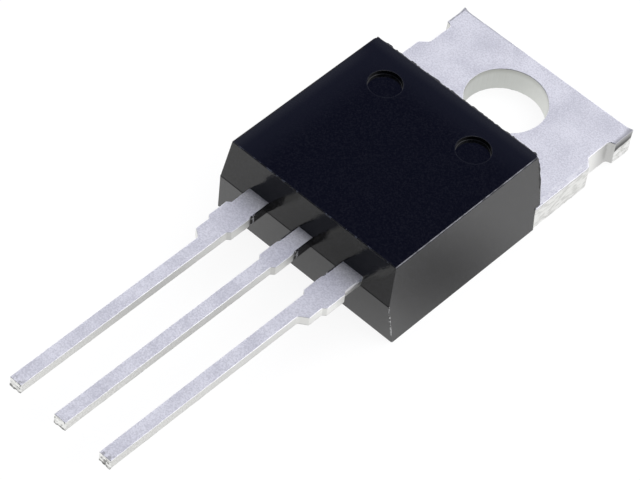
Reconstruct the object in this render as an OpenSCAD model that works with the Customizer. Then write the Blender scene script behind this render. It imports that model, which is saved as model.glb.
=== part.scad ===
// Pair of Schottky diodes in a three-lead package with a flat metal tab.
// All sizes are in millimetres. The part lies on the flat back of its tab at z = 0.
// The axis of the mounting hole is the Z axis, the tab ends on the +Y side of it,
// and the body and the three leads follow along -Y.

/* [Tab] */
// Thickness of the tab and of the die pad
tab_t = 1.3; // [1.1:0.05:1.6]
// Width of the tab beside the body
tab_w = 10.1; // [9.6:0.05:10.6]
// Width across the corner ears
ear_w = 9.94; // [9.4:0.02:10.4]
// Length of the corner ears
ear_len = 1.18; // [0.6:0.01:1.5]
// Depth of the side notches, measured from the narrower of ears and tab
notch_depth = 0.3; // [0.1:0.05:0.6]
// Length of the side notches, from the ear to the slope at their lower end
notch_len = 1.5; // [0.8:0.1:1.8]
// Radius in the corners of the side notches
notch_r = 0.22; // [0.05:0.01:0.3]
// Diameter of the mounting hole
hole_d = 3.8; // [3.2:0.05:4.2]
// Distance from the hole's axis to the end of the tab
hole_to_end = 2.83; // [2.5:0.01:3.2]
// Distance from the hole's axis to the body, at the tab's face
hole_to_body = 3.43; // [3:0.05:4]
// Depth of the die roll where the punch entered the mounting hole
hole_roll = 0.03; // [0.02:0.01:0.15]

/* [Die pad] */
// Width of the pad inside the body
pad_w = 8.4; // [7.8:0.1:9]
// Length of the pad inside the body
pad_len = 5.9; // [5.2:0.1:6.4]
// Width of the coined step that keys the pad's rim to the plastic
lock_w = 0.35; // [0.2:0.05:0.5]
// Height of that step above the pad's back
lock_h = 0.45; // [0.3:0.05:0.6]

/* [Body] */
// Width of the body at its back face
body_w = 10.2; // [9.6:0.02:10.8]
// Thickness of the body
body_t = 4.49; // [4.3:0.01:4.9]
// Length of the body, from its back at the tab's face to the parting line
body_len = 9.75; // [9.2:0.05:10.4]
// Draft of the side walls, in degrees
side_draft = 5.3; // [3:0.1:8]
// Draft of the front above the parting line, in degrees
front_draft = 8.8; // [4:0.1:12]
// Draft of the front below the parting line, in degrees
under_draft = 7.3; // [4:0.1:12]
// Draft of the back wall over the tab, in degrees
back_draft = 6.8; // [3:0.1:10]
// How far the body stands back beside the tab's shoulders
side_setback = 0.37; // [0.2:0.01:0.6]
// Radius along the top edges
edge_r = 0.05; // [0.04:0.01:0.2]
// Radius of the upright corners
corner_r = 0.06; // [0.04:0.01:0.25]
// Mismatch of the two mould halves at the parting line
parting_step = 0.02; // [0.01:0.01:0.1]

/* [Ejector recesses] */
// Diameter of the two ejector recesses
recess_d = 1.56; // [1:0.02:2]
// Depth of the ejector recesses
recess_depth = 0.22; // [0.1:0.02:0.5]
// Distance between the two recesses
recess_pitch = 5.08; // [4:0.02:6]
// Distance from the hole's axis to the line of the recesses
hole_to_recess = 5.63; // [5.2:0.01:6.5]
// Radius at the rim and round the floor of the recesses
recess_r = 0.03; // [0.02:0.01:0.15]

/* [Leads] */
// Distance between lead centres
lead_pitch = 2.54; // [2.4:0.01:2.7]
// Width of the leads
lead_w = 0.65; // [0.5:0.01:0.9]
// Thickness of the leads
lead_t = 0.5; // [0.38:0.01:0.6]
// Height of the leads' underside above the back of the tab
lead_z = 2.39; // [2.2:0.01:2.7]
// Length of the leads outside the body
lead_len = 14.1; // [10:0.1:16]
// Extra width of the outer leads' shoulders, on their outer side
shoulder_w = 0.4; // [0.2:0.01:0.6]
// Length of those shoulders outside the body
shoulder_len = 3.4; // [2.7:0.05:4]
// Distance from the body to the stubs left by the sheared tie bar
stub_start = 1.0; // [0.6:0.05:1.3]
// Length of the tie-bar stubs
stub_len = 1.35; // [0.6:0.05:1.5]
// How far the stubs stand out from the leads
stub_w = 0.15; // [0.05:0.01:0.2]
// Length of the slope at the ends of the stubs
stub_slope = 0.14; // [0.05:0.01:0.2]
// Length of the slope at the end of the shoulders
shoulder_slope = 0.28; // [0.1:0.01:0.5]
// Radius between that slope and the narrow lead
shoulder_r = 0.15; // [0.05:0.05:0.35]
// Extra width between body and stub, on the sides that face another lead
root_w = 0.07; // [0.02:0.01:0.12]
// Thickness of the resin left on those sides
resin_w = 0.05; // [0.04:0.01:0.2]

/* [Inner end of the leads] */
// Width of the bond posts
post_w = 2.3; // [1.6:0.1:2.5]
// Length of the bond posts
post_len = 1.45; // [1:0.05:1.6]
// Offset of the posts from the lead's centre, outwards
post_offset = 0.42; // [0.3:0.02:0.6]
// Gap between the die pad and the posts
post_gap = 0.95; // [0.6:0.05:1.1]
// Radius of the anchor bite in each post, which the plastic fills
anchor_r = 0.25; // [0.1:0.05:0.3]
// Width of the centre lead's neck at the pad
neck_w = 2.4; // [1.6:0.1:2.6]
// Inner radius of the neck's two bends
bend_r = 0.35; // [0.2:0.05:0.5]
// Slope of the neck, in degrees
neck_slope = 50; // [40:1:60]
// Flat length of the neck before its first bend
neck_flat = 0.4; // [0.3:0.05:0.6]

/* [Dies and wires] */
// Width of the square dies
die_w = 2.9; // [2:0.1:3.2]
// Thickness of the dies
die_t = 0.3; // [0.2:0.01:0.4]
// Distance between die centres
die_pitch = 4.1; // [3.7:0.1:4.3]
// Distance from the pad's front edge to the die centres
die_to_edge = 2.5; // [2.2:0.1:3]
// Thickness of the solder under the dies
solder_t = 0.06; // [0.03:0.01:0.1]
// Margin of the solder around the dies
solder_margin = 0.12; // [0.05:0.01:0.2]
// Diameter of the bond wires
wire_d = 0.38; // [0.25:0.01:0.5]
// Length of the flattened feet of the bond wires
foot_len = 0.8; // [0.5:0.05:0.9]
// Width of those feet
foot_w = 0.52; // [0.4:0.01:0.7]
// Height of those feet
foot_t = 0.24; // [0.15:0.01:0.3]
// Angle between the wire's arch and its chord, at both feet, in degrees
wire_arch = 48; // [40:1:55]

/* [Hidden] */
$fn = 64;
EPS = 0.01;
ARC_STEPS = 6;

// Places along Y, all measured from the hole's axis
front_y = -(hole_to_body + body_len);
side_y = -(hole_to_body + side_setback);
pad_y = side_y - pad_len;
post_y = pad_y - post_gap;
tip_y = front_y - lead_len;
stub_y = front_y - stub_start;
shoulder_y = front_y - shoulder_len;
die_y = pad_y + die_to_edge;
notch_top_y = hole_to_end - ear_len;
notch_low_y = notch_top_y - notch_len;

// Heights
lead_top = lead_z + lead_t;
die_z = tab_t + solder_t;
die_top = die_z + die_t;

// Where the bond wire starts and ends, seen from above
die_centre = [die_pitch / 2, die_y];
post_centre = [lead_pitch + post_offset, post_y - post_len / 2];

function unit(v) = v / norm(v);
function half_width(z) = body_w / 2 - z * tan(side_draft);
function back_of_body(z) = -hole_to_body - (z - tab_t) * tan(back_draft);
function front_above(z) = front_y + parting_step + (z - lead_z) * tan(front_draft);
function front_below(z) = front_y + (lead_z - z) * tan(under_draft);
function mirrored(points) = [for (i = [len(points) - 1 : -1 : 0]) [-points[i][0], points[i][1]]];

// Points of the arc that rounds one corner of an outline
function corner_arc(last, corner, next, radius) =
    let (
        to_last = unit(last - corner),
        to_next = unit(next - corner),
        half_angle = acos(to_last * to_next) / 2,
        centre = corner + unit(to_last + to_next) * radius / sin(half_angle),
        from = corner + to_last * radius / tan(half_angle) - centre,
        to = corner + to_next * radius / tan(half_angle) - centre,
        start = atan2(from[1], from[0]),
        sweep = (atan2(to[1], to[0]) - start + 540) % 360 - 180
    )
    [for (k = [0 : ARC_STEPS])
        let (a = start + sweep * k / ARC_STEPS)
        centre + radius * [cos(a), sin(a)]];

// Points of an outline whose corners are rounded to the given radii
function rounded(points, radii) =
    let (count = len(points))
    [for (i = [0 : count - 1])
        each radii[i] == 0
            ? [points[i]]
            : corner_arc(points[(i + count - 1) % count], points[i], points[(i + 1) % count], radii[i])];

// The body's outline at height z as a thin slice, its upright corners rounded
module body_slice(z, front) {
    half = half_width(z);
    back = back_of_body(z);
    translate([0, 0, z])
        linear_extrude(EPS)
            polygon(rounded(
                [[-half, front], [half, front], [half, back], [-half, back]],
                [corner_r, corner_r, corner_r, corner_r]
            ));
}

// Balls that round the top edges and lie against the drafted walls
module top_edge_balls() {
    z = body_t - edge_r;
    x = half_width(z) - edge_r / cos(side_draft);
    for (side = [-1, 1])
        for (y = [front_above(z) + edge_r / cos(front_draft), back_of_body(z) - edge_r / cos(back_draft)])
            translate([side * x, y, z])
                sphere(edge_r, $fn = 32);
}

// The moulding without its cavities: two mould halves that meet at the leads' underside
module body_shell() {
    difference() {
        union() {
            hull() {
                body_slice(0, front_below(0));
                body_slice(lead_z - EPS, front_y);
            }
            hull() {
                body_slice(lead_z - EPS, front_above(lead_z));
                top_edge_balls();
            }
        }
        translate([-body_w, side_y, -EPS])
            cube([2 * body_w, body_w, tab_t + EPS]);
    }
}

// Two round recesses that the ejector pins leave in the top face
module ejector_recesses() {
    radius = recess_d / 2;
    floor_z = body_t - recess_depth;
    rim_z = body_t + EPS;
    profile = rounded(
        [
            [0, floor_z], [radius, floor_z], [radius, rim_z],
            [radius + 2 * recess_r, rim_z], [radius, rim_z + recess_r], [0, rim_z + recess_r]
        ],
        [0, recess_r, recess_r, 0, 0, 0]
    );
    for (side = [-1, 1])
        translate([side * recess_pitch / 2, -hole_to_recess, 0])
            rotate_extrude()
                polygon(profile);
}

// Resin left beside one lead, from the body to the tie-bar stub
module resin_remain() {
    translate([lead_w / 2 + root_w - EPS, stub_y, lead_z])
        cube([resin_w + EPS, stub_start + corner_r, lead_t]);
}

module moulded_body() {
    color([0.09, 0.09, 0.12])
        difference() {
            union() {
                body_shell();
                for (side = [-1, 1])
                    mirror([side < 0 ? 1 : 0, 0, 0]) {
                        resin_remain();
                        translate([lead_pitch, 0, 0])
                            mirror([1, 0, 0])
                                resin_remain();
                    }
            }
            ejector_recesses();
            heatsink_tab();
            for (side = [-1, 1]) {
                anode_lead(side);
                die(side);
                die_solder(side);
                bond_wire(side);
            }
        }
}

// The tab seen from above: ears, side notches, full width, and the pad inside the body
module tab_outline() {
    notch_x = min(ear_w, tab_w) / 2 - notch_depth;
    root_r = min(notch_r, notch_depth * 0.7);
    lip = notch_depth / 3;
    right_side = [
        [pad_w / 2, pad_y],
        [pad_w / 2, side_y],
        [tab_w / 2, side_y],
        [tab_w / 2, notch_low_y - (tab_w / 2 - notch_x)],
        [notch_x, notch_low_y],
        [notch_x, notch_top_y - lip],
        [ear_w / 2, notch_top_y],
        [ear_w / 2, hole_to_end]
    ];
    radii = [corner_r, 0, 0, root_r, root_r, root_r, 0, 0];
    mirrored_radii = [for (i = [len(radii) - 1 : -1 : 0]) radii[i]];
    polygon(rounded(concat(right_side, mirrored(right_side)), concat(radii, mirrored_radii)));
}

// The mounting hole, its upper edge drawn in by the punch
module mounting_hole() {
    translate([0, 0, -EPS])
        cylinder(d = hole_d, h = tab_t + 2 * EPS);
    rotate_extrude()
        difference() {
            translate([0, tab_t - hole_roll])
                square([hole_d / 2 + hole_roll, hole_roll + EPS]);
            translate([hole_d / 2 + hole_roll, tab_t - hole_roll])
                circle(hole_roll);
        }
}

// Coined step round the pad's back edge, which the plastic grips
module lock_step() {
    inner_w = pad_w - 2 * lock_w;
    difference() {
        translate([-pad_w, pad_y - lock_w, -EPS])
            cube([2 * pad_w, pad_len, lock_h + EPS]);
        translate([-inner_w / 2, pad_y + lock_w, -2 * EPS])
            cube([inner_w, pad_len, lock_h + 4 * EPS]);
    }
}

// Edge of a lead's shoulder, from its end to the narrow lead
function shoulder_edge(edge) =
    let (slope_start = [edge, shoulder_y + shoulder_slope])
    concat(
        [slope_start],
        corner_arc(slope_start, [lead_w / 2, shoulder_y], [lead_w / 2, tip_y], shoulder_r)
    );

// Right-hand edge of a lead from its root to its tip, with the tie-bar stub between
function lead_edge(root, shoulder) =
    let (edge = lead_w / 2 + shoulder)
    concat(
        [
            [lead_w / 2 + root, stub_y],
            [edge + stub_w, stub_y - stub_slope],
            [edge + stub_w, stub_y - stub_len + stub_slope],
            [edge, stub_y - stub_len]
        ],
        shoulder > 0 ? shoulder_edge(edge) : [],
        [[lead_w / 2, tip_y]]
    );

// The centre lead's strip seen from the side, with the two bends that lift it off the pad
module lead_side_view() {
    rise = lead_top - tab_t;
    low_bend_y = pad_y - neck_flat;
    high_bend_y = low_bend_y - rise / tan(neck_slope);
    mitre = lead_t / 2 * tan(neck_slope / 2);
    root_y = pad_y + lock_w;
    polygon(rounded(
        [
            [root_y, tab_t], [low_bend_y + mitre, tab_t],
            [high_bend_y + mitre, lead_top], [tip_y, lead_top],
            [tip_y, lead_z], [high_bend_y - mitre, lead_z],
            [low_bend_y - mitre, tab_t - lead_t], [root_y, tab_t - lead_t]
        ],
        [0, bend_r, bend_r + lead_t, 0, 0, bend_r, bend_r + lead_t, 0]
    ));
}

// The centre lead: the bent strip cut to its outline
module centre_lead() {
    low_bend_y = pad_y - neck_flat;
    high_bend_y = low_bend_y - (lead_top - tab_t) / tan(neck_slope);
    right_side = concat(
        [[neck_w / 2, pad_y + lock_w], [neck_w / 2, low_bend_y], [lead_w / 2 + root_w, high_bend_y]],
        lead_edge(root_w, 0)
    );
    intersection() {
        linear_extrude(body_t)
            polygon(concat(right_side, mirrored(right_side)));
        translate([-neck_w, 0, 0])
            rotate([90, 0, 90])
                linear_extrude(2 * neck_w)
                    lead_side_view();
    }
}

module heatsink_tab() {
    color([0.82, 0.82, 0.86]) {
        difference() {
            linear_extrude(tab_t)
                tab_outline();
            mounting_hole();
            lock_step();
        }
        centre_lead();
    }
}

// Flat outer lead on the right (1) or left (-1): post, shoulder, stub and plain end
module anode_lead(side) {
    post_out = post_offset + post_w / 2;
    post_in = post_w / 2 - post_offset;
    post_front_y = post_y - post_len;
    outer_side = concat(
        [[post_out, post_y], [post_out, post_front_y], [lead_w / 2 + shoulder_w, post_front_y]],
        lead_edge(shoulder_w, shoulder_w)
    );
    inner_side = concat(
        [[post_in, post_y], [post_in, post_front_y], [lead_w / 2 + root_w, post_front_y]],
        lead_edge(root_w, 0)
    );
    color([0.82, 0.82, 0.86])
        mirror([side < 0 ? 1 : 0, 0, 0])
            translate([lead_pitch, 0, lead_z])
                linear_extrude(lead_t)
                    difference() {
                        polygon(concat(outer_side, mirrored(inner_side)));
                        translate([post_out, post_y - post_len / 2])
                            circle(anchor_r);
                    }
}

module die(side) {
    color([0.35, 0.37, 0.42])
        translate([side * die_pitch / 2 - die_w / 2, die_y - die_w / 2, die_z])
            cube([die_w, die_w, die_t]);
}

module die_solder(side) {
    size = die_w + 2 * solder_margin;
    color([0.66, 0.67, 0.68])
        translate([side * die_pitch / 2 - size / 2, die_y - size / 2, tab_t])
            cube([size, size, solder_t]);
}

// Foot of the bond wire, pressed flat on a surface at height z
module wire_foot(z) {
    translate([-foot_len / 2, -foot_w / 2, z])
        cube([foot_len, foot_w, foot_t]);
}

// Arch of the bond wire: a round wire on an arc over the chord from foot to foot
module wire_arc(run, rise) {
    chord = norm([run, rise]);
    radius = chord / 2 / sin(wire_arch);
    translate([0, 0, die_top])
        rotate([90, -atan2(rise, run), 0])
            translate([chord / 2, -radius * cos(wire_arch), 0])
                rotate([0, 0, 90 - wire_arch])
                    rotate_extrude(angle = 2 * wire_arch)
                        translate([radius, 0])
                            circle(d = wire_d);
}

// Wire from a die's top to its post, with a flat foot on both
module bond_wire(side) {
    along = post_centre - die_centre;
    run = norm(along);
    color([0.78, 0.79, 0.8])
        difference() {
            mirror([side < 0 ? 1 : 0, 0, 0])
                translate([die_centre[0], die_centre[1], 0])
                    rotate([0, 0, atan2(along[1], along[0])]) {
                        wire_foot(die_top);
                        wire_arc(run, lead_top - die_top);
                        translate([run, 0, 0])
                            wire_foot(lead_top);
                    }
            die(side);
            anode_lead(side);
        }
}

moulded_body();
heatsink_tab();
anode_lead(-1);  // left_anode_lead
anode_lead(1);  // right_anode_lead
die(-1);  // left_die
die(1);  // right_die
die_solder(-1);  // left_die_solder
die_solder(1);  // right_die_solder
bond_wire(-1);  // left_bond_wire
bond_wire(1);  // right_bond_wire
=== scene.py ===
import math

import bmesh
import bpy
from mathutils import Matrix, Vector, noise


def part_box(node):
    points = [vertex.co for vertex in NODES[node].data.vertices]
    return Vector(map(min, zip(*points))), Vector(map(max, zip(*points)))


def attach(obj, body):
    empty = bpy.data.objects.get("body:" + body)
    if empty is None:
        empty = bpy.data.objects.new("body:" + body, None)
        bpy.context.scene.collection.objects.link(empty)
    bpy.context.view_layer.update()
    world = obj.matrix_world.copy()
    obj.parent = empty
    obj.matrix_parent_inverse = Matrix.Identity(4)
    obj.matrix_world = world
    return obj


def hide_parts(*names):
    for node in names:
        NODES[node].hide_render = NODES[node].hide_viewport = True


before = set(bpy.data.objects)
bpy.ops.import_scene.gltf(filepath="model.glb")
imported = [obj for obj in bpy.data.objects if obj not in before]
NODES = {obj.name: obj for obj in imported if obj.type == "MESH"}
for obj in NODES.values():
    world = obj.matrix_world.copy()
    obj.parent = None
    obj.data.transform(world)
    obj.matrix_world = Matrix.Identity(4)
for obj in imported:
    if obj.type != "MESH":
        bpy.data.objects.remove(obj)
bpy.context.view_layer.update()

MM = 0.001

# Heights and places that the nodes of model.glb give
TAB_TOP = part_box("left_die_solder")[0][2]
LEAD_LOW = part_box("right_anode_lead")[0][2]
LEAD_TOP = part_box("right_anode_lead")[1][2]
TIP_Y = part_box("right_anode_lead")[0][1]
FAR_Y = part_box("heatsink_tab")[1][1]
BODY_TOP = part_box("moulded_body")[1][2]
BODY_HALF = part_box("moulded_body")[1][0]
BODY_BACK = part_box("moulded_body")[1][1]

# Faces of the body and of the tab that a node's box doesn't give
BODY_FRONT = -13.18 * MM
EAR_HALF = 4.97 * MM
NOTCH_WALL = EAR_HALF - 0.30 * MM
NOTCH_TOP = 1.65 * MM
NOTCH_LOW = NOTCH_TOP - 1.50 * MM
HOLE_RADIUS = 1.90 * MM

# The camera: where it looks, from which side, how far away, and how it is turned
AIM = Vector((0.456, -12.633, 2.405)) * MM
AZIMUTH = math.radians(37.235)
ELEVATION = math.radians(49.910)
ROLL = math.radians(7.8315)
DISTANCE = 142.0 * MM
SENSOR = 36.0
LENS = 191.1


def add_camera():
    """A long lens, so the leads hardly narrow towards the viewer."""
    to_camera = Vector((
        math.sin(AZIMUTH) * math.cos(ELEVATION),
        -math.cos(AZIMUTH) * math.cos(ELEVATION),
        math.sin(ELEVATION),
    ))
    level = Vector((math.cos(AZIMUTH), math.sin(AZIMUTH), 0.0))
    upright = to_camera.cross(level)
    right = level * math.cos(ROLL) + upright * math.sin(ROLL)
    up = to_camera.cross(right)
    data = bpy.data.cameras.new("camera")
    data.sensor_width = SENSOR
    data.lens = LENS
    data.clip_start = 0.01
    data.dof.use_dof = False
    camera = bpy.data.objects.new("camera", data)
    bpy.context.scene.collection.objects.link(camera)
    camera.matrix_world = Matrix((right, up, to_camera)).transposed().to_4x4()
    camera.location = AIM + to_camera * DISTANCE
    bpy.context.scene.camera = camera


# ---------------------------------------------------------------- node helpers

class Tree:
    """A node tree with short calls for the nodes that are used here."""

    def __init__(self, tree, vector):
        self.tree = tree
        self.vector = tree.nodes.new("ShaderNodeTexCoord").outputs[vector]

    def plug(self, value, socket):
        """Give a socket a number, a colour or another node's output."""
        if isinstance(value, (int, float)):
            socket.default_value = value
        elif isinstance(value, tuple):
            socket.default_value = (*value, 1.0) if len(socket.default_value) == 4 else value
        else:
            self.tree.links.new(value, socket)

    def noise(self, scale, detail=2.0, roughness=0.5, vector=None):
        node = self.tree.nodes.new("ShaderNodeTexNoise")
        node.inputs["Scale"].default_value = scale
        node.inputs["Detail"].default_value = detail
        node.inputs["Roughness"].default_value = roughness
        self.plug(vector or self.vector, node.inputs["Vector"])
        return node.outputs["Fac"]

    def stretched(self, factors):
        """The coordinates times a factor for each axis."""
        node = self.tree.nodes.new("ShaderNodeMapping")
        node.inputs["Scale"].default_value = factors
        self.plug(self.vector, node.inputs["Vector"])
        return node.outputs["Vector"]

    def remap(self, value, low, high, to_low=0.0, to_high=1.0):
        """A smooth step from to_low to to_high while the value runs from low to high."""
        node = self.tree.nodes.new("ShaderNodeMapRange")
        node.interpolation_type = "SMOOTHSTEP"
        for name, number in (("Value", value), ("From Min", low), ("From Max", high),
                             ("To Min", to_low), ("To Max", to_high)):
            self.plug(number, node.inputs[name])
        return node.outputs["Result"]

    def mix(self, factor, first, second):
        node = self.tree.nodes.new("ShaderNodeMix")
        node.data_type = "RGBA"
        self.plug(factor, node.inputs["Factor"])
        for name, colour in (("A", first), ("B", second)):
            self.plug(colour, next(s for s in node.inputs if s.name == name and s.type == "RGBA"))
        return next(s for s in node.outputs if s.type == "RGBA")

    def maths(self, operation, first, second):
        node = self.tree.nodes.new("ShaderNodeMath")
        node.operation = operation
        self.plug(first, node.inputs[0])
        self.plug(second, node.inputs[1])
        return node.outputs["Value"]

    def both(self, *masks):
        """Where all of the masks hold."""
        product = masks[0]
        for mask in masks[1:]:
            product = self.maths("MULTIPLY", product, mask)
        return product

    def axis(self, name):
        node = self.tree.nodes.new("ShaderNodeSeparateXYZ")
        self.plug(self.vector, node.inputs[0])
        return node.outputs[name]

    def dot(self, direction):
        node = self.tree.nodes.new("ShaderNodeVectorMath")
        node.operation = "DOT_PRODUCT"
        self.plug(self.vector, node.inputs[0])
        node.inputs[1].default_value = direction
        return node.outputs["Value"]

    def distance(self, point):
        node = self.tree.nodes.new("ShaderNodeVectorMath")
        node.operation = "DISTANCE"
        self.plug(self.vector, node.inputs[0])
        node.inputs[1].default_value = point
        return node.outputs["Value"]


class Shader(Tree):
    """A material on the Principled shader, with a colour that stains and painted light and shade are laid
    on.
    """

    def __init__(self, name):
        self.material = bpy.data.materials.new(name)
        self.material.use_nodes = True
        super().__init__(self.material.node_tree, "Object")
        self.surface = self.tree.nodes["Principled BSDF"]
        self.colour = None

    def stain_or_painted_light(self, mask, tone):
        self.colour = self.mix(mask, self.colour, tone)

    def set(self, **values):
        for name, value in values.items():
            self.plug(value, self.surface.inputs[name.replace("_", " ")])

    def bump(self, height, distance):
        node = self.tree.nodes.new("ShaderNodeBump")
        node.inputs["Distance"].default_value = distance
        node.inputs["Strength"].default_value = 0.6
        self.plug(height, node.inputs["Height"])
        return node.outputs["Normal"]


# ---------------------------------------------------------------- materials

# The body's outer planes: a normal, and the level of the plane along it.
# The upper mould half stands back from the lower one by MOULD_STEP.
SIDE_SLOPE = math.tan(math.radians(5.3))
UPPER_SLOPE = math.tan(math.radians(8.8))
LOWER_SLOPE = math.tan(math.radians(7.3))
BACK_SLOPE = math.tan(math.radians(6.8))
MOULD_STEP = 0.02 * MM
TOP = ((0.0, 0.0, 1.0), BODY_TOP)
RIGHT = ((1.0, 0.0, SIDE_SLOPE), BODY_HALF)
LEFT = ((-1.0, 0.0, SIDE_SLOPE), BODY_HALF)
FRONT_ABOVE = ((0.0, -1.0, UPPER_SLOPE), UPPER_SLOPE * LEAD_LOW - BODY_FRONT - MOULD_STEP)
FRONT_BELOW = ((0.0, -1.0, -LOWER_SLOPE), -LOWER_SLOPE * LEAD_LOW - BODY_FRONT)
BACK = ((0.0, 1.0, BACK_SLOPE), BODY_BACK + BACK_SLOPE * TAB_TOP)

# Where the resin beside the leads ends, and the two ejector recesses
RESIN_END = -13.98 * MM
RECESS_RADIUS = 0.78 * MM
RECESS_AXES = [(x, -5.63 * MM, BODY_TOP) for x in (-2.54 * MM, 2.54 * MM)]

# The top is paler along its left and back edges: how far in, where it is full, and its tone
PALE_TOP_BANDS = (
    (2.20 * MM, 0.40 * MM, (0.0046, 0.0050, 0.0070)),
    (0.65 * MM, 0.05 * MM, (0.0118, 0.0126, 0.0150)),
)

# A point belongs to a rim of the back wall within these depths, behind that wall and beside its neighbours
RIM_DEPTH = 0.06 * MM
RIM_WIDTH = 0.07 * MM


def along_edge(shader, first, second, width):
    """A mask that is 1 within a width of two planes, so along the edge where they meet."""
    masks = [
        shader.remap(shader.dot(normal), level - width, level - 0.5 * width)
        for normal, level in (first, second)
    ]
    return shader.both(*masks)


def near_top(shader, low, high):
    """A mask that rises to 1 towards the body's top, between two depths below it."""
    return shader.remap(shader.axis("Z"), BODY_TOP - low, BODY_TOP - high)


def epoxy_grain_and_painted_shade(shader, top_face, grain):
    """Painted shade makes the epoxy darkest on the top and in the recesses, a little paler on the slopes."""
    painted_shade_part = top_face
    for axis in RECESS_AXES:
        in_recess = shader.remap(
            shader.distance(axis), RECESS_RADIUS + 0.07 * MM, RECESS_RADIUS + 0.12 * MM, 1.0, 0.0)
        painted_shade_part = shader.maths("MAXIMUM", painted_shade_part, in_recess)
    # Painted shade: the top and the recesses take the darker tones
    plain = shader.mix(painted_shade_part, (0.0030, 0.0030, 0.0034), (0.0008, 0.0009, 0.0012))
    speck = shader.mix(painted_shade_part, (0.017, 0.017, 0.019), (0.0040, 0.0042, 0.0052))
    return shader.mix(shader.remap(grain, 0.4, 0.7), plain, speck)


def pale_top_edges(shader, top_face):
    """Paler bands along the left and back edges of the top."""
    for normal, level in (LEFT, BACK):
        for reach, solid, tone in PALE_TOP_BANDS:
            paler_band = shader.remap(shader.dot(normal), level - reach, level - solid)
            shader.stain_or_painted_light(shader.both(top_face, paler_band), tone)


def edge_chips_and_highlights(shader, chips_and_glints):
    """Chips along the lower front corner, pale specks along the back rim, painted highlights broken up along
    the left and front edges of the top, and a painted highlight line along the right upper edge.
    """
    sparse = shader.remap(shader.noise(5000.0), 0.54, 0.66)
    # Painted highlights, broken up, along the left and front edges of the top; pale specks on the back rim
    # and chips on the lower front corner
    for first, second, width, pattern, tone in (
        (TOP, LEFT, 0.12 * MM, chips_and_glints, (0.020, 0.017, 0.014)),
        (TOP, FRONT_ABOVE, 0.06 * MM, sparse, (0.030, 0.034, 0.046)),
        (TOP, BACK, RIM_WIDTH, sparse, (0.02, 0.02, 0.02)),
        (RIGHT, FRONT_BELOW, 0.06 * MM, chips_and_glints, (0.36, 0.36, 0.35)),
    ):
        shader.stain_or_painted_light(shader.both(along_edge(shader, first, second, width), pattern), tone)
    # Painted highlight: a thin pale line along the right upper edge, broken up by noise
    beside = shader.remap(shader.dot(RIGHT[0]), BODY_HALF - 0.060 * MM, BODY_HALF - 0.048 * MM)
    painted_highlight_line = shader.both(beside, near_top(shader, 0.025 * MM, 0.015 * MM))
    highlight_breakup = shader.remap(shader.noise(2600.0, 3.0), 0.3, 0.6, 0.25, 1.0)
    shader.stain_or_painted_light(shader.both(painted_highlight_line, highlight_breakup), (0.16, 0.16, 0.17))


def paint_recess_rim_highlights(shader):
    """Painted highlight: a thin paler ring round each recess."""
    for axis in RECESS_AXES:
        outside = shader.maths("SUBTRACT", shader.distance(axis), RECESS_RADIUS)
        off_rim = shader.maths("ABSOLUTE", outside, 0.0)
        rim = shader.remap(off_rim, 0.02 * MM, 0.05 * MM, 1.0, 0.0)
        shader.stain_or_painted_light(shader.both(rim, near_top(shader, 0.03 * MM, 0.01 * MM)), (0.0090, 0.0095, 0.0110))


def black_moulding():
    """Epoxy compound: near black and fine-grained, chipped along its edges, with painted shade on the top
    and in the recesses and painted highlights along its upper edges, recess rims and resin ends.
    """
    shader = Shader("black_moulding")
    cloud = shader.noise(900.0, 3.0)
    grain = shader.noise(13000.0, 2.0, 0.6)
    chips_and_glints = shader.remap(shader.noise(9000.0), 0.46, 0.62)
    top_face = near_top(shader, 0.04 * MM, 0.02 * MM)
    shader.colour = epoxy_grain_and_painted_shade(shader, top_face, grain)
    pale_top_edges(shader, top_face)
    edge_chips_and_highlights(shader, chips_and_glints)
    paint_recess_rim_highlights(shader)
    # Painted highlight: pale patches where the rounded ends of the resin beside the leads catch light
    resin_end_highlight = shader.remap(shader.axis("Y"), RESIN_END - 0.03 * MM, RESIN_END + 0.03 * MM, 1.0, 0.0)
    shader.stain_or_painted_light(shader.both(resin_end_highlight, chips_and_glints), (0.34, 0.34, 0.35))
    dull_rim = shader.maths("MULTIPLY", along_edge(shader, TOP, BACK, RIM_WIDTH), 0.5)
    shader.set(
        IOR=1.5,
        Base_Color=shader.colour,
        Roughness=shader.maths("ADD", shader.remap(cloud, 0.3, 0.7, 0.07, 0.10), dull_rim),
        Normal=shader.bump(grain, 0.006 * MM),
    )
    return shader.material


class Tin(Shader):
    """Matt tin: a fine light and dark grain over faint clouds."""

    def __init__(self, name, dark, light, rough):
        super().__init__(name)
        self.grain = self.noise(14000.0, 2.0, 0.6)
        self.cloud = self.noise(700.0)
        fine_part = self.maths("MULTIPLY", self.grain, 0.8)
        broad_part = self.maths("MULTIPLY", self.cloud, 0.2)
        self.colour = self.mix(self.remap(self.maths("ADD", fine_part, broad_part), 0.36, 0.64), dark, light)
        self.rough = rough
        self.height = self.grain
        self.depth = 0.004 * MM

    def finish(self):
        self.set(
            Metallic=1.0,
            Base_Color=self.colour,
            Roughness=self.remap(self.cloud, 0.3, 0.7, self.rough - 0.03, self.rough + 0.03),
            Normal=self.bump(self.height, self.depth),
        )
        return self.material

    def beyond(self, name, start, width):
        """A mask that rises to 1 from a start over a width. A negative width makes it rise downwards."""
        if width > 0:
            return self.remap(self.axis(name), start, start + width)
        return self.remap(self.axis(name), start + width, start, 1.0, 0.0)


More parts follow.
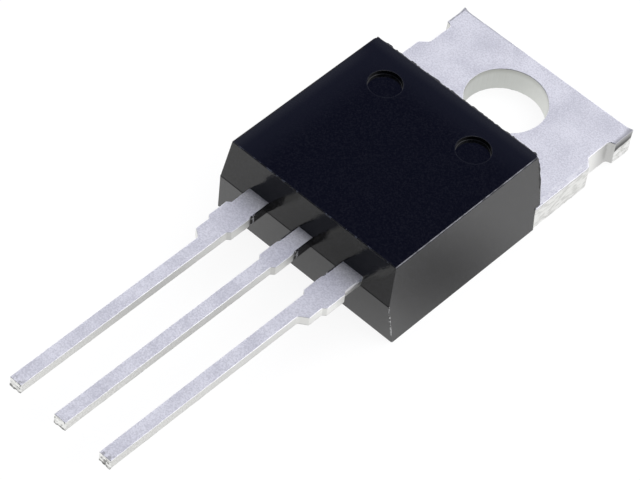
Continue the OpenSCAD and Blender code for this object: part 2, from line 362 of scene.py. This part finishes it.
def tin_face():
    """The level faces: painted grey shade on the die-rolled far and left edges and on the right ear's roll,
    smeared at the wide side.
    """
    tin = Tin("tin_face", (0.70, 0.70, 0.72), (0.87, 0.87, 0.89), 0.46)
    die_roll_shade_tone = (0.40, 0.40, 0.41)
    patches = tin.noise(4500.0)
    # Painted shade, in patches, on the die-rolled left edge of the left ear
    left = tin.both(
        tin.beyond("X", -EAR_HALF + 0.13 * MM, -0.06 * MM),
        tin.beyond("Y", NOTCH_TOP, 0.1 * MM),
    )
    tin.stain_or_painted_light(tin.both(left, tin.remap(patches, 0.3, 0.5, 0.4, 0.9)), (0.36, 0.36, 0.37))
    # Painted shade, in patches, on the die-rolled far edge
    far = tin.both(
        tin.beyond("Y", FAR_Y - 0.12 * MM, 0.06 * MM),
        tin.beyond("X", 0.5 * MM, -5.0 * MM),
    )
    tin.stain_or_painted_light(tin.both(far, tin.remap(patches, 0.3, 0.5, 0.2, 0.8)), (0.42, 0.42, 0.43))
    # Painted shade on the right ear's die roll and round its far corner
    rolled = tin.both(
        tin.beyond("X", EAR_HALF - 0.26 * MM, 0.24 * MM),
        tin.beyond("Y", NOTCH_TOP - 0.1 * MM, 0.2 * MM),
    )
    tin.stain_or_painted_light(rolled, die_roll_shade_tone)
    off_corner = tin.distance((EAR_HALF, FAR_Y - 0.1 * MM, TAB_TOP))
    tin.stain_or_painted_light(tin.remap(off_corner, 0.10 * MM, 0.45 * MM, 0.6, 0.0), die_roll_shade_tone)
    at_tip = tin.beyond("Y", TIP_Y + 0.45 * MM, -0.4 * MM)
    tin.stain_or_painted_light(tin.both(at_tip, tin.remap(tin.noise(6000.0), 0.45, 0.6, 0.0, 0.8)), (0.40, 0.40, 0.40))
    wide = tin.both(
        tin.beyond("X", NOTCH_WALL - 0.01 * MM, 0.16 * MM),
        tin.beyond("Y", NOTCH_LOW + 0.10 * MM, -0.2 * MM),
        tin.beyond("Y", BODY_FRONT / 2, 1.0 * MM),
    )
    smears = tin.noise(1.0, vector=tin.stretched((9000.0, 3500.0, 3500.0)))
    tin.stain_or_painted_light(tin.both(wide, tin.remap(smears, 0.40, 0.56, 0.0, 0.8)), (0.96, 0.96, 0.95))
    return tin.finish()


def lead_edge():
    """The sheared sides of the leads: pale and a little warm, with painted light that brightens them towards
    the root, painted highlights on the end of a tip, and a dark line of painted shade under the burr at the
    foot of a tip.
    """
    tin = Tin("lead_edge", (0.68, 0.68, 0.66), (0.86, 0.86, 0.84), 0.42)
    painted_light_tone = (1.0, 1.0, 0.98)
    # Painted light: the sides grow brighter towards the root
    tin.stain_or_painted_light(tin.remap(tin.axis("Y"), TIP_Y + 2.0 * MM, TIP_Y + 11.0 * MM, 0.0, 0.9), painted_light_tone)
    end_face = tin.beyond("Y", TIP_Y + 0.05 * MM, -0.03 * MM)
    # Painted highlights in patches on the end face of a tip
    tin.stain_or_painted_light(tin.both(end_face, tin.remap(tin.noise(8000.0), 0.40, 0.55)), painted_light_tone)
    tin.stain_or_painted_light(tin.both(end_face, tin.remap(tin.noise(6500.0), 0.58, 0.66)), (0.30, 0.30, 0.29))
    # Painted shade: a dark line under the burr at the foot of the end face
    torn = tin.both(end_face, tin.beyond("Z", LEAD_LOW + 0.11 * MM, -0.05 * MM))
    tin.stain_or_painted_light(tin.both(torn, tin.remap(tin.noise(7000.0), 0.35, 0.55)), (0.16, 0.16, 0.15))
    foot = tin.beyond("Z", LEAD_LOW + 0.09 * MM, -0.05 * MM)
    tin.stain_or_painted_light(tin.both(foot, tin.remap(tin.noise(5000.0), 0.3, 0.6, 0.1, 0.5)), (0.48, 0.48, 0.47))
    return tin.finish()


def paint_hole_shade(tin):
    """The hole's wall is smooth, with painted shade that makes it darker on its left and along its top."""
    off_axis = tin.distance((0.0, 0.0, TAB_TOP / 2))
    in_hole = tin.remap(off_axis, HOLE_RADIUS + 0.2 * MM, HOLE_RADIUS + 0.4 * MM, 1.0, 0.0)
    turned = tin.beyond("X", -1.5 * MM, 3.2 * MM)
    lit = tin.mix(turned, (0.58, 0.595, 0.57), (0.82, 0.83, 0.80))
    dim = tin.mix(turned, (0.46, 0.47, 0.44), (0.72, 0.73, 0.70))
    tin.stain_or_painted_light(in_hole, tin.mix(tin.beyond("Z", TAB_TOP - 0.35 * MM, 0.3 * MM), lit, dim))


def paint_notch_shade(tin, on_right):
    """The notch's wall, with painted light that makes it bright at its lower end and painted shade towards
    the ear.
    """
    notch = tin.both(on_right, tin.beyond("Y", NOTCH_TOP + 0.02 * MM, -0.02 * MM))
    upward = tin.beyond("Y", NOTCH_LOW + 0.05 * MM, 1.3 * MM)
    tin.stain_or_painted_light(notch, tin.mix(upward, (0.96, 0.96, 0.94), (0.60, 0.60, 0.59)))


def ear_tear_and_painted_reflection(tin, ear, torn):
    """The right ear's side: torn and pale, and burnished above a ragged line that climbs a little, where a
    painted reflection of a dark room makes it dark.
    """
    tin.stain_or_painted_light(tin.both(ear, tin.remap(torn, 0.4, 0.6)), (0.96, 0.96, 0.95))
    ragged = tin.maths("ADD", tin.dot((0.0, -0.10, 1.0)), tin.maths("MULTIPLY", torn, 0.2 * MM))
    above = tin.remap(ragged, 0.66 * MM, 0.76 * MM)
    off_end_face = tin.beyond("Y", FAR_Y - 0.03 * MM, -0.06 * MM)
    upward = tin.beyond("Z", TAB_TOP - 0.40 * MM, 0.38 * MM)
    # Painted reflection: the burnished band is darkened for the dark room it mirrors, darkest low down
    tin.stain_or_painted_light(
        tin.both(ear, above, off_end_face),
        tin.mix(upward, (0.08, 0.08, 0.08), (0.40, 0.40, 0.40)),
    )


def wide_side_tear_and_painted_shade(tin, wide, torn):
    """The wide side beside the body: torn all over, with an even line of painted shade along its top."""
    tin.stain_or_painted_light(wide, tin.mix(tin.remap(torn, 0.36, 0.60), (0.70, 0.70, 0.68), (0.90, 0.90, 0.88)))
    # Painted shade that dims the highlight on the rounded top edge of the wide side
    top_line = tin.beyond("Z", TAB_TOP - 0.08 * MM, 0.05 * MM)
    tin.stain_or_painted_light(tin.both(wide, top_line), (0.66, 0.66, 0.66))


def tab_edge():
    """The tab's sides: smooth in the hole, torn and bright at the wide side, burnished on the right ear."""
    tin = Tin("tab_edge", (0.62, 0.62, 0.60), (0.86, 0.86, 0.84), 0.42)
    torn = tin.noise(1.0, 3.0, vector=tin.stretched((5000.0, 2500.0, 6000.0)))
    on_right = tin.beyond("X", NOTCH_WALL - 0.27 * MM, 0.1 * MM)
    ear = tin.both(on_right, tin.beyond("Y", NOTCH_TOP, 0.03 * MM))
    wide = tin.both(on_right, tin.beyond("Y", NOTCH_LOW, -0.2 * MM))
    paint_hole_shade(tin)
    paint_notch_shade(tin, on_right)
    ear_tear_and_painted_reflection(tin, ear, torn)
    wide_side_tear_and_painted_shade(tin, wide, torn)
    rough_part = tin.maths("MAXIMUM", ear, wide)
    tin.height = tin.maths("ADD", tin.maths("MULTIPLY", tin.grain, 0.2), tin.both(rough_part, torn))
    tin.depth = 0.02 * MM
    return tin.finish()


def silicon():
    shader = Shader("silicon")
    colour = shader.mix(shader.noise(4000.0), (0.10, 0.11, 0.14), (0.16, 0.17, 0.2))
    shader.set(Metallic=0.6, Roughness=0.3, Base_Color=colour)
    return shader.material


def solder():
    shader = Shader("solder")
    cloud = shader.noise(3000.0, 3.0)
    colour = shader.mix(cloud, (0.36, 0.37, 0.38), (0.5, 0.51, 0.52))
    shader.set(Metallic=1.0, Base_Color=colour, Roughness=shader.remap(cloud, 0.3, 0.7, 0.4, 0.6))
    return shader.material


def drawn_aluminium():
    shader = Shader("drawn_aluminium")
    streaks = shader.noise(2500.0)
    colour = shader.mix(streaks, (0.7, 0.71, 0.72), (0.86, 0.87, 0.88))
    shader.set(Metallic=1.0, Base_Color=colour, Roughness=shader.remap(streaks, 0.3, 0.7, 0.3, 0.42))
    return shader.material


# ---------------------------------------------------------------- softened pieces

# Points closer than this are one, or lie on one plane
WELD = 1e-7
ON_PLANE = 1e-7

# Angles between faces that count as one face, as one direction for shading, and as a sharp edge
FLAT = math.radians(0.5)
ALMOST_FLAT = math.radians(1.5)
SHARP = math.radians(35.0)

# How upright a normal is on a level face, and on any face that looks up or down
LEVEL = 0.99
MOSTLY_LEVEL = 0.8

# Length of the pieces that an edge is cut into, and how many faces round it off
STEP = 0.15 * MM
RIM_STEP = 0.06 * MM
ROUND_STEPS = 3


def in_the_open(point):
    """Whether a point of the metal is outside the moulding."""
    return point.y > BODY_BACK - 0.4 * MM or point.y < BODY_FRONT + 0.1 * MM


def upright(edge):
    """Whether an edge stands rather than lies."""
    along = edge.verts[0].co - edge.verts[1].co
    return abs(along.z) > 0.5 * along.length


def tab_radius(edge):
    """Radius along an edge of the tab and its lead."""
    middle = (edge.verts[0].co + edge.verts[1].co) / 2
    if middle.y < BODY_FRONT:
        return lead_radius(edge)
    if upright(edge):
        return 0.04 * MM
    return 0.05 * MM


def lead_radius(edge):
    """Radius along an edge of a lead."""
    middle = (edge.verts[0].co + edge.verts[1].co) / 2
    if upright(edge) or middle.y < TIP_Y + 0.01 * MM:
        return 0.02 * MM
    return 0.03 * MM


def split(edge, parts):
    """Cut an edge into equal parts."""
    start, end = edge.verts
    for part in range(parts, 1, -1):
        middle = bmesh.utils.edge_split(edge, start, 1.0 / part)[1]
        edge = next(e for e in middle.link_edges if e.other_vert(middle) is end)
        start = middle


def rounded_mesh(node, radius_of):
    """The node's mesh with its sharp edges rounded, where they are in the open."""
    bm = bmesh.new()
    bm.from_mesh(NODES[node].data)
    bmesh.ops.remove_doubles(bm, verts=bm.verts, dist=WELD)
    bmesh.ops.dissolve_limit(bm, angle_limit=FLAT, verts=bm.verts, edges=bm.edges)
    weight = bm.edges.layers.float.new("bevel_weight_edge")

    def sharp_edges():
        return [e for e in bm.edges if e.is_manifold and e.calc_face_angle() > SHARP
                and in_the_open(e.verts[0].co) and in_the_open(e.verts[1].co)]

    for edge in sharp_edges():
        split(edge, math.ceil(edge.calc_length() / STEP))
    radii = {edge: radius_of(edge) for edge in sharp_edges()}
    widest = max(radii.values())
    for edge, radius in radii.items():
        edge[weight] = radius / widest
    mesh = bpy.data.meshes.new(node + "_sharp")
    bm.to_mesh(mesh)
    bm.free()
    helper = bpy.data.objects.new(node + "_sharp", mesh)
    bpy.context.scene.collection.objects.link(helper)
    bevel = helper.modifiers.new("rounding", "BEVEL")
    bevel.limit_method = "WEIGHT"
    bevel.width = widest
    bevel.segments = ROUND_STEPS
    bevel.use_clamp_overlap = False
    result = bpy.data.meshes.new_from_object(helper.evaluated_get(bpy.context.evaluated_depsgraph_get()))
    bpy.data.objects.remove(helper)
    return result


def refill(bm, height):
    """Fill a level plane afresh, because the rounding moves its rim over its long thin triangles."""
    level = [f for f in bm.faces if all(abs(v.co.z - height) < ON_PLANE for v in f.verts)]
    upward = sum(f.calc_area() * f.normal.z for f in level)
    bmesh.ops.delete(bm, geom=level, context="FACES_ONLY")
    bordering = [e for e in bm.edges if len(e.link_faces) == 1]
    rim = [e for e in bordering if all(abs(v.co.z - height) < ON_PLANE for v in e.verts)]
    loose = [e for e in bm.edges if not e.link_faces]
    bmesh.ops.delete(bm, geom=loose, context="EDGES")
    outward = (0, 0, math.copysign(1, upward))
    filled = bmesh.ops.triangle_fill(bm, edges=rim, use_beauty=True, normal=outward)
    for item in filled["geom"]:
        if isinstance(item, bmesh.types.BMFace) and item.normal.z * upward < 0:
            item.normal_flip()


def corner_normals(mesh, flat):
    """Normals that keep flat faces flat and run smoothly round the rounded edges."""
    at_vertex = {}
    for index, normal in flat.items():
        for v in mesh.polygons[index].vertices:
            at_vertex.setdefault(v, []).append(normal)
    smooth = {}
    for polygon in mesh.polygons:
        if polygon.index not in flat:
            for v in polygon.vertices:
                smooth[v] = smooth.get(v, Vector()) + polygon.normal * polygon.area
    normals = [None] * len(mesh.loops)
    for polygon in mesh.polygons:
        for loop in polygon.loop_indices:
            v = mesh.loops[loop].vertex_index
            if polygon.index in flat:
                normals[loop] = flat[polygon.index]
            elif v in at_vertex:
                normals[loop] = max(at_vertex[v], key=lambda n: n.dot(polygon.normal))
            else:
                normals[loop] = smooth[v].normalized()
    return normals


# The order of the metals on a softened piece
FACE_SLOT, TAB_EDGE_SLOT, LEAD_EDGE_SLOT = range(3)


def softened(node, name, radius_of, shift_of, heights, materials):
    """A piece that stands for a CAD node: the same solid with rounded and slightly uneven edges."""
    bm = bmesh.new()
    bm.from_mesh(rounded_mesh(node, radius_of))
    for height in heights:
        refill(bm, height)
    bm.normal_update()
    mesh = bpy.data.meshes.new(name)
    bm.to_mesh(mesh)
    bm.free()
    largest_round = (0.3 * STEP) * STEP
    flat = {p.index: p.normal.copy() for p in mesh.polygons
            if abs(p.normal.z) > LEVEL or p.area > largest_round and abs(p.normal.z) < 1 - LEVEL}
    for polygon in mesh.polygons:
        polygon.use_smooth = True
        edge_slot = LEAD_EDGE_SLOT if polygon.center.z > LEAD_LOW else TAB_EDGE_SLOT
        polygon.material_index = FACE_SLOT if abs(polygon.normal.z) > MOSTLY_LEVEL else edge_slot
    normals = corner_normals(mesh, flat)
    for vertex in mesh.vertices:
        if in_the_open(vertex.co):
            vertex.co += shift_of(vertex.co)
    mesh.normals_split_custom_set(normals)
    for material in materials:
        mesh.materials.append(material)
    piece = bpy.data.objects.new(name, mesh)
    bpy.context.scene.collection.objects.link(piece)
    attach(piece, "root")
    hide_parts(node)


def uneven(point, amount, grain):
    """A small shift in any direction, smooth over a grain. Its pattern differs from run to run."""
    return noise.noise_vector(point / grain) * amount


# Burrs: how they are pushed out, and how fine or how wide they are
TIP_BURR = Vector((0.0, -0.05, -0.07)) * MM
TIP_BURR_GRAIN = 0.09 * MM
EAR_BURR = (0.04, 0.03, 0.07)
EAR_BURR_REACH = 0.35 * MM


def lead_shift(point):
    """Uneven sides, and a ragged burr that the cutter pressed down at the tip."""
    shift = uneven(point, 0.008 * MM, 0.3 * MM)
    if point.y < TIP_Y + 0.05 * MM and point.z < LEAD_LOW + 0.1 * MM:
        shift += TIP_BURR * abs(noise.noise(point / TIP_BURR_GRAIN))
    return shift


def tab_shift(point):
    """Uneven sides, and a small burr on the far corner of each ear."""
    if point.y < BODY_FRONT:
        return lead_shift(point)
    shift = uneven(point, 0.012 * MM, 0.25 * MM)
    for x in (-EAR_HALF, EAR_HALF):
        off = (Vector((x, FAR_Y, TAB_TOP)) - point).length
        if off < EAR_BURR_REACH:
            outward, beyond, above = EAR_BURR
            burr = Vector((math.copysign(outward, x), beyond, above)) * MM
            shift += burr * (1.0 - off / EAR_BURR_REACH)
    return shift


def depth_behind(point, plane):
    """How far a point is inside one of the body's planes."""
    normal, level = plane
    return level - Vector(normal).dot(point)


# The top corners of the back wall are rounded wider than the rest. Planes cut the mesh there, at depths
# behind the side and back planes and at heights, so that it can bend.
SHARP_CORNER = 0.06 * MM
WIDE_CORNER = 0.30 * MM
WIDE_FROM = 3.95 * MM
CUT_DEPTHS = [depth * MM for depth in (0.03, 0.06, 0.10, 0.15, 0.22, 0.32)]
CUT_HEIGHTS = [height * MM for height in (3.95, 4.10, 4.22, 4.32, 4.40)]

# Flash on the rims of the back wall, which starts above the tab
FLASH_FROM = TAB_TOP + 0.02 * MM
FLASH_REACH = 0.12 * MM
FLASH_GRAIN = 0.14 * MM


def rounded_corner(point, side, plane):
    """Pull a point near a back corner in to the corner's radius, which widens towards the top."""
    share = min(1.0, max(0.0, (point.z - WIDE_FROM) / (BODY_TOP - WIDE_FROM)))
    radius = SHARP_CORNER + (WIDE_CORNER - SHARP_CORNER) * share * share
    back = radius - depth_behind(point, BACK)
    away = radius - depth_behind(point, plane)
    reach = math.hypot(back, away)
    if back <= 0 or away <= 0 or reach <= radius:
        return Vector()
    pull = 1.0 - radius / reach
    drop = 0.5 * pull * away if depth_behind(point, TOP) < 0.05 * MM else 0.0
    return Vector((-side * away * pull, -back * pull, -drop))


def body_shift(point):
    """Wider back corners, and flash left by the mould along the rims of the back wall."""
    shift = Vector()
    if point.z < FLASH_FROM:
        return shift
    for side, plane in ((1.0, RIGHT), (-1.0, LEFT)):
        shift += rounded_corner(point, side, plane)
    if depth_behind(point, BACK) > RIM_DEPTH:
        return shift
    flash = max(0.0, noise.noise(point / FLASH_GRAIN) + 0.05) * FLASH_REACH
    if depth_behind(point, TOP) < RIM_DEPTH:
        shift += Vector((0.0, flash, 0.0))
    for side, plane in ((1.0, RIGHT), (-1.0, LEFT)):
        if depth_behind(point, plane) < RIM_WIDTH:
            shift += Vector((side * flash, 0.3 * flash, 0.0))
    return shift


def on_back_rim(point):
    """Whether a point lies on a rim of the back wall that carries flash."""
    if point.z < FLASH_FROM or depth_behind(point, BACK) > RIM_DEPTH:
        return False
    return any(depth_behind(point, plane) < RIM_WIDTH for plane in (TOP, RIGHT, LEFT))


def on_front_corner(point):
    """Whether a point lies on a rounded upright corner in front."""
    off_side = min(depth_behind(point, RIGHT), depth_behind(point, LEFT))
    off_front = min(depth_behind(point, FRONT_ABOVE), depth_behind(point, FRONT_BELOW))
    return off_side < SHARP_CORNER and off_front < SHARP_CORNER


def cut(bm, normal, level):
    """Add edges where a plane crosses the mesh."""
    normal = Vector(normal)
    geometry = bm.verts[:] + bm.edges[:] + bm.faces[:]
    bmesh.ops.bisect_plane(bm, geom=geometry, dist=WELD, plane_co=normal * level / normal.length_squared,
                           plane_no=normal)


def flat_faces(mesh):
    """The faces of the body that shade as flat, each with the direction that it takes."""
    planes = (RIGHT, LEFT, FRONT_ABOVE, FRONT_BELOW, BACK)
    directions = [Vector(normal).normalized() for normal, level in planes]
    for axis in ((1, 0, 0), (0, 1, 0), (0, 0, 1)):
        directions += [Vector(axis), -Vector(axis)]
    upper_edge = BODY_TOP - SHARP_CORNER
    flat = {}
    for polygon in mesh.polygons:
        normal, centre = polygon.normal, polygon.center
        closest = max(directions, key=normal.dot)
        back_rim = normal.z > 0.3 and depth_behind(centre, BACK) < RIM_WIDTH
        right_edge = 0.2 < normal.z < 0.8 and normal.x > 0.5 and centre.z > upper_edge
        if back_rim or right_edge:
            flat[polygon.index] = Vector(TOP[0])
        if centre.z < upper_edge and on_front_corner(centre):
            flat[polygon.index] = closest
        if closest.dot(normal) > math.cos(ALMOST_FLAT):
            flat[polygon.index] = closest
    return flat


def moulding():
    """The body with its ragged back rims. Everything else keeps the solid's shape."""
    bm = bmesh.new()
    bm.from_mesh(NODES["moulded_body"].data)
    bmesh.ops.remove_doubles(bm, verts=bm.verts, dist=WELD)
    bmesh.ops.dissolve_limit(bm, angle_limit=FLAT, verts=bm.verts, edges=bm.edges)
    for normal, level in (RIGHT, LEFT, BACK):
        for depth in CUT_DEPTHS:
            cut(bm, normal, level - depth)
    for height in CUT_HEIGHTS:
        cut(bm, TOP[0], height)
    for edge in [e for e in bm.edges if on_back_rim(e.verts[0].co) and on_back_rim(e.verts[1].co)]:
        if edge.calc_length() > RIM_STEP:
            split(edge, math.ceil(edge.calc_length() / RIM_STEP))
    for vertex in bm.verts:
        vertex.co += body_shift(vertex.co)
    mesh = bpy.data.meshes.new("moulding")
    bm.to_mesh(mesh)
    bm.free()
    for polygon in mesh.polygons:
        polygon.use_smooth = True
    mesh.normals_split_custom_set(corner_normals(mesh, flat_faces(mesh)))
    mesh.materials.append(black_moulding())
    piece = bpy.data.objects.new("moulding", mesh)
    bpy.context.scene.collection.objects.link(piece)
    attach(piece, "root")
    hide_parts("moulded_body")


def dress(obj, material):
    """Give a node of the solid model its material."""
    obj.data.materials.clear()
    obj.data.materials.append(material)


# ---------------------------------------------------------------- studio

FLOOR_HALF = 1.5

# The floor as the glossy faces mirror it: its level, and soft pools with their place and radius in mm
MIRRORED_LEVEL = 0.95
POOLS = (
    ((0.4, -17.4), 7.5, -0.48),
    ((3.8, -15.2), 3.2, -0.14),
    ((6.4, -8.4), 4.8, -0.50),
    ((7.2, -13.4), 3.2, 0.30),
    ((7.5, -2.0), 5.0, 0.02),
)


def add_floor():
    """A white floor. What the glossy faces mirror of it has soft pools of light and shade."""
    mesh = bpy.data.meshes.new("floor")
    corners = [(x * FLOOR_HALF, y * FLOOR_HALF, 0) for x, y in ((-1, -1), (1, -1), (1, 1), (-1, 1))]
    mesh.from_pydata(corners, [], [(0, 1, 2, 3)])
    floor = bpy.data.objects.new("floor", mesh)
    bpy.context.scene.collection.objects.link(floor)
    material = bpy.data.materials.new("white_floor")
    material.use_nodes = True
    material.node_tree.nodes.clear()
    tree = Tree(material.node_tree, "Object")
    new = material.node_tree.nodes.new
    level = MIRRORED_LEVEL
    for centre, radius, gain in POOLS:
        away = tree.distance((centre[0] * MM, centre[1] * MM, 0.0))
        level = tree.maths("ADD", level, tree.remap(away, 0.0, radius * MM, gain, 0.0))
    path = new("ShaderNodeLightPath")
    lit = new("ShaderNodeBsdfDiffuse")
    lit.inputs["Color"].default_value = (0.9, 0.9, 0.89, 1.0)
    plain = new("ShaderNodeEmission")
    pooled = new("ShaderNodeEmission")
    tree.plug(level, pooled.inputs["Strength"])
    seen = new("ShaderNodeMixShader")
    tree.plug(tree.maths("MULTIPLY", path.outputs["Is Camera Ray"], 0.9), seen.inputs["Fac"])
    tree.plug(lit.outputs[0], seen.inputs[1])
    tree.plug(plain.outputs[0], seen.inputs[2])
    mirrored = new("ShaderNodeMixShader")
    tree.plug(path.outputs["Is Glossy Ray"], mirrored.inputs["Fac"])
    tree.plug(seen.outputs[0], mirrored.inputs[1])
    tree.plug(pooled.outputs[0], mirrored.inputs[2])
    tree.plug(mirrored.outputs[0], new("ShaderNodeOutputMaterial").inputs["Surface"])
    mesh.materials.append(material)


# The direction that the top of the body mirrors to the camera, where the room is dark
DIM_SPOT = Vector((-0.390, 0.513, 0.765))


def add_world():
    """A room that is bright behind the object, dark behind the camera and white along the horizon."""
    world = bpy.data.worlds.new("studio")
    bpy.context.scene.world = world
    world.use_nodes = True
    world.node_tree.nodes.clear()
    tree = Tree(world.node_tree, "Generated")
    new = world.node_tree.nodes.new
    colour = tree.mix(tree.remap(tree.axis("Y"), -0.20, 0.30), (0.10, 0.11, 0.15), (1.50, 1.50, 1.60))
    colour = tree.mix(tree.remap(tree.dot(DIM_SPOT), 0.945, 0.985), colour, (0.056, 0.064, 0.180))
    colour = tree.mix(tree.remap(tree.axis("Z"), 0.02, 0.14, 1.0, 0.0), colour, (1.0, 1.0, 1.0))
    sky = new("ShaderNodeBackground")
    tree.plug(colour, sky.inputs["Color"])
    white = new("ShaderNodeBackground")
    white.inputs["Color"].default_value = (1.0, 1.0, 1.0, 1.0)
    mixed = new("ShaderNodeMixShader")
    tree.plug(new("ShaderNodeLightPath").outputs["Is Camera Ray"], mixed.inputs["Fac"])
    tree.plug(sky.outputs[0], mixed.inputs[1])
    tree.plug(white.outputs[0], mixed.inputs[2])
    tree.plug(mixed.outputs[0], new("ShaderNodeOutputWorld").inputs["Surface"])


def add_lamp():
    """A wide soft lamp overhead. It brings the floor to white and leaves a faint shadow."""
    data = bpy.data.lights.new("overhead", "SUN")
    data.energy = 2.6
    data.angle = math.radians(80.0)
    lamp = bpy.data.objects.new("overhead", data)
    lamp.rotation_euler = (math.radians(-12.0), math.radians(14.0), 0.0)
    lamp.visible_glossy = False
    bpy.context.scene.collection.objects.link(lamp)


# ---------------------------------------------------------------- the part

bpy.context.scene.view_settings.view_transform = "Standard"
add_camera()
add_floor()
add_world()
add_lamp()

metals = [tin_face(), tab_edge(), lead_edge()]
level_planes = (0.0, TAB_TOP, LEAD_LOW, LEAD_TOP)
softened("heatsink_tab", "tab_and_centre_lead", tab_radius, tab_shift, level_planes, metals)
for side in ("left", "right"):
    softened(side + "_anode_lead", side + "_lead", lead_radius, lead_shift, (LEAD_LOW, LEAD_TOP), metals)
    dress(NODES[side + "_die"], silicon())
    dress(NODES[side + "_die_solder"], solder())
    dress(NODES[side + "_bond_wire"], drawn_aluminium())
moulding()
